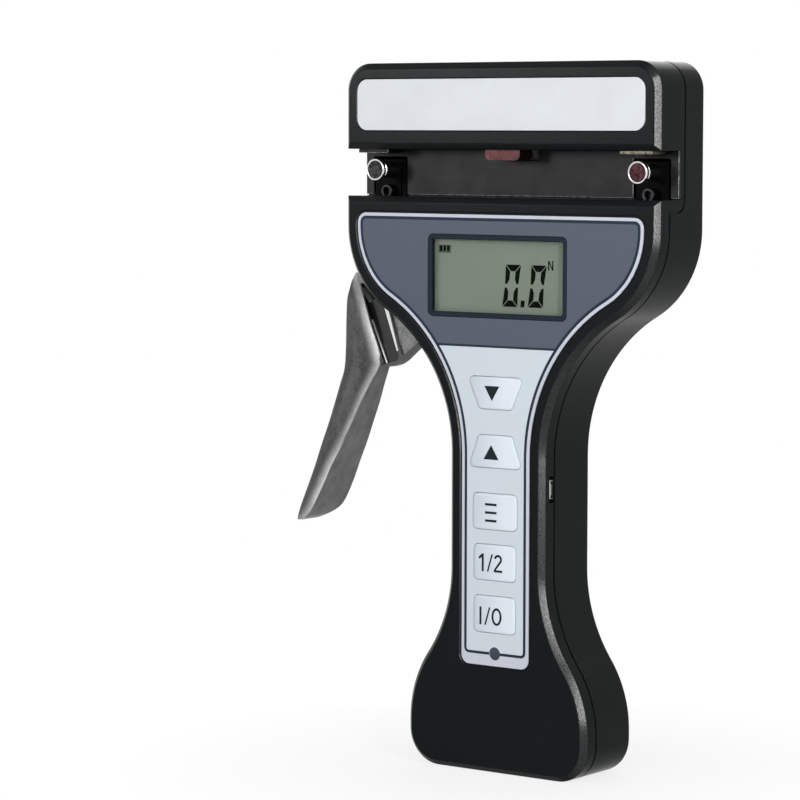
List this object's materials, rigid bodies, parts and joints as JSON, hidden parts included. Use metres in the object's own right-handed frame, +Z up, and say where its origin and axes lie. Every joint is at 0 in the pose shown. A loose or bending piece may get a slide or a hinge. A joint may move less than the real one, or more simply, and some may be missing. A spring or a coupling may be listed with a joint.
{
  "type": "digital cable tension gauge",
  "caption": "Hand held gauge for the tension of thin steel cable, with a side trigger, a C-shaped throat with posts and riser, keys and a display.",
  "frame": {"origin": "centre of the flat base of the closed case", "axes": "+X to the right as seen from the front, +Y from the display to the back, +Z up from the base to the head"},
  "size_m": [0.1827, 0.0335, 0.2786],
  "materials": {
    "case_plastic": "satin moulded black",
    "head_plate": "bead blasted, clear anodised",
    "label_film": "printed film in slate and silver blue",
    "display_frame": "printed dark slate",
    "display_window": "clear",
    "display_glass": "liquid crystal grey green",
    "inner_plastic": "moulded",
    "circuit_board": "green solder mask",
    "inner_steel": "zinc plated",
    "socket_shell": "tin plated",
    "indicator_lens": "smoked",
    "cell_sleeve": "shrink sleeve",
    "wear_plate": "satin grey",
    "frame_steel": "milled, zinc plated",
    "load_cell": "milled, anodised",
    "gauge_foil": "foil on film",
    "riser_bronze": "dark bronze",
    "pad_steel": "ground",
    "ground_steel": "ground",
    "spring_steel": "drawn",
    "black_screw": "black oxide",
    "bush_bronze": "sintered bronze",
    "bracket_black": "black oxide",
    "post_chrome": "polished",
    "trigger_cast": "tumbled die casting",
    "key_film": "embossed film"
  },
  "bodies": {
    "housing": {"front_cover": "case_plastic", "rear_casing": "case_plastic", "head_plate": "head_plate", "overlay_label": "label_film", "lcd_bezel": "display_frame", "lcd_window": "display_window", "lcd_glass": "display_glass", "lcd_holder": "inner_plastic", "main_board": "circuit_board", "board_screws": "inner_steel", "key_switches": "inner_plastic", "usb_port": "socket_shell", "indicator_lens": "indicator_lens", "indicator_lamp": "inner_plastic", "power_cell": "cell_sleeve", "cell_cradle": "inner_plastic", "wear_plate": "wear_plate", "load_frame": "frame_steel", "frame_screws": "inner_steel", "load_cell": "load_cell", "cell_spacer": "inner_steel", "cell_screws": "inner_steel", "strain_gauges": "gauge_foil", "riser": "riser_bronze", "riser_screws": "inner_steel", "left_pad": "pad_steel", "right_pad": "pad_steel", "left_guide_rod": "ground_steel", "right_guide_rod": "ground_steel", "left_spring": "spring_steel", "right_spring": "spring_steel", "trigger_pin": "ground_steel", "trigger_pin_clip": "spring_steel", "trigger_spring": "spring_steel", "rocker_pin": "ground_steel", "rocker_pin_clip": "spring_steel", "case_screws": "black_screw"},
    "carriage": {"post_carriage": "frame_steel", "left_bush": "bush_bronze", "right_bush": "bush_bronze", "left_bracket": "bracket_black", "right_bracket": "bracket_black", "left_post": "post_chrome", "right_post": "post_chrome", "left_post_screw": "black_screw", "right_post_screw": "black_screw", "carriage_screws": "black_screw"},
    "trigger": {"trigger_lever": "trigger_cast", "trigger_bush": "bush_bronze"},
    "rocker": {"rocker": "frame_steel"},
    "key_down": {"key_down": "key_film"},
    "key_up": {"key_up": "key_film"},
    "key_mode": {"key_mode": "key_film"},
    "key_unit": {"key_unit": "key_film"},
    "key_power": {"key_power": "key_film"}
  },
  "joints": [
    {"name": "trigger_pull", "type": "hinge", "parent": "housing", "child": "trigger", "pos_m": [-0.048, 0, 0.19], "axis": [0, -1, 0], "range_deg": [0, 14], "stiffness_Nm_per_rad": 2, "springref_deg": -14.32},
    {"name": "rocker_turn", "type": "hinge", "parent": "housing", "child": "rocker", "pos_m": [-0.014, 0, 0.19], "axis": [0, -1, 0], "range_deg": [-21.01, 0]},
    {"name": "carriage_drop", "type": "slide", "parent": "housing", "child": "carriage", "axis": [0, 0, -1], "range_m": [0, 0.00521], "deforming": ["left_spring", "right_spring"]},
    {"name": "key_down_press", "type": "slide", "parent": "housing", "child": "key_down", "axis": [0, 1, 0], "range_m": [0, 0.0006], "stiffness_N_per_m": 1500, "springref_m": -0.0005},
    {"name": "key_up_press", "type": "slide", "parent": "housing", "child": "key_up", "axis": [0, 1, 0], "range_m": [0, 0.0006], "stiffness_N_per_m": 1500, "springref_m": -0.0005},
    {"name": "key_mode_press", "type": "slide", "parent": "housing", "child": "key_mode", "axis": [0, 1, 0], "range_m": [0, 0.0006], "stiffness_N_per_m": 1500, "springref_m": -0.0005},
    {"name": "key_unit_press", "type": "slide", "parent": "housing", "child": "key_unit", "axis": [0, 1, 0], "range_m": [0, 0.0006], "stiffness_N_per_m": 1500, "springref_m": -0.0005},
    {"name": "key_power_press", "type": "slide", "parent": "housing", "child": "key_power", "axis": [0, 1, 0], "range_m": [0, 0.0006], "stiffness_N_per_m": 1500, "springref_m": -0.0005}
  ],
  "couplings": [
    {"joint": "rocker_turn", "follows": "trigger_pull", "ratio": -1.5},
    {"joint": "carriage_drop", "follows": "trigger_pull", "m_per_rad": 0.021281}
  ]
}
